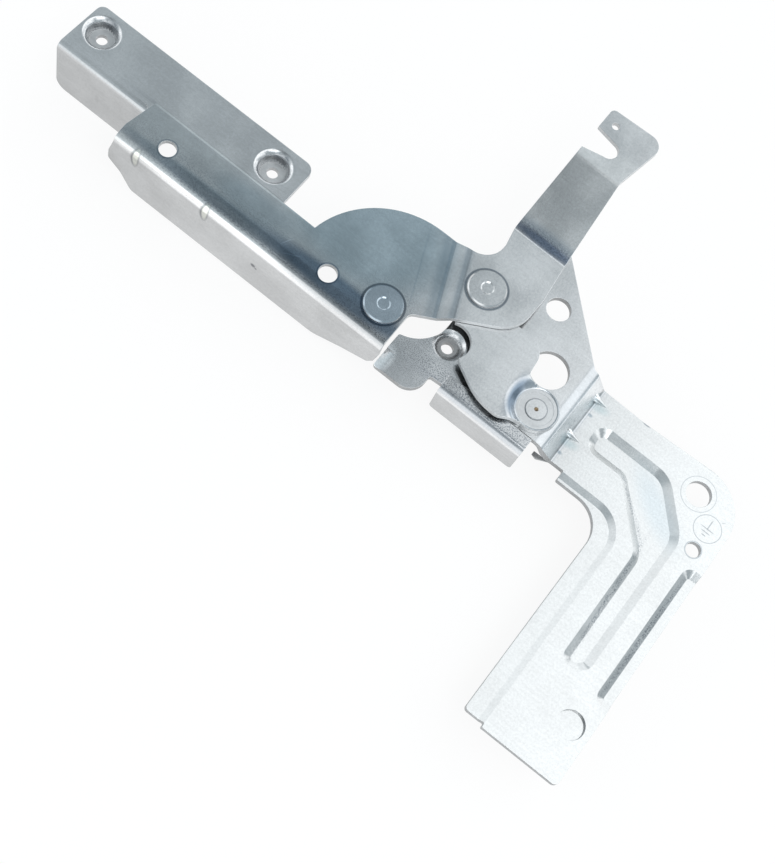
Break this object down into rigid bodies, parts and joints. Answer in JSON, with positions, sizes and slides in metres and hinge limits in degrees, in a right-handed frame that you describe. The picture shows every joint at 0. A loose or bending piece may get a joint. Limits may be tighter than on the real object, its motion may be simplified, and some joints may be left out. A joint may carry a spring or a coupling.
{
  "type": "dishwasher door hinge",
  "caption": "Pressed steel dishwasher door hinge with a riveted pivot, a hooked spring lever and a ribbed fixing foot.",
  "frame": {"origin": "on the axis that the door turns on, at the front face of the base plate", "axes": "+Z along the pivot axis towards the rivet heads, +X towards the foot, +Y towards the hook of the lever; the door arm points to -X with the door fully open"},
  "size_m": [0.3022, 0.2128, 0.0436],
  "materials": {
    "zinc_plated_sheet": "satin",
    "rivet_steel": "satin"
  },
  "bodies": {
    "tub_side": {"base_plate": "zinc_plated_sheet", "pivot_link": "zinc_plated_sheet", "pivot_rivet": "rivet_steel", "link_rivet": "rivet_steel"},
    "door_side": {"door_arm": "zinc_plated_sheet", "door_rail": "zinc_plated_sheet", "arm_rivet": "rivet_steel"}
  },
  "joints": [
    {"name": "door_pivot", "type": "hinge", "parent": "tub_side", "child": "door_side", "pos_m": [0, 0, 0.003], "axis": [0, 0, -1], "range_deg": [0, 90]}
  ]
}
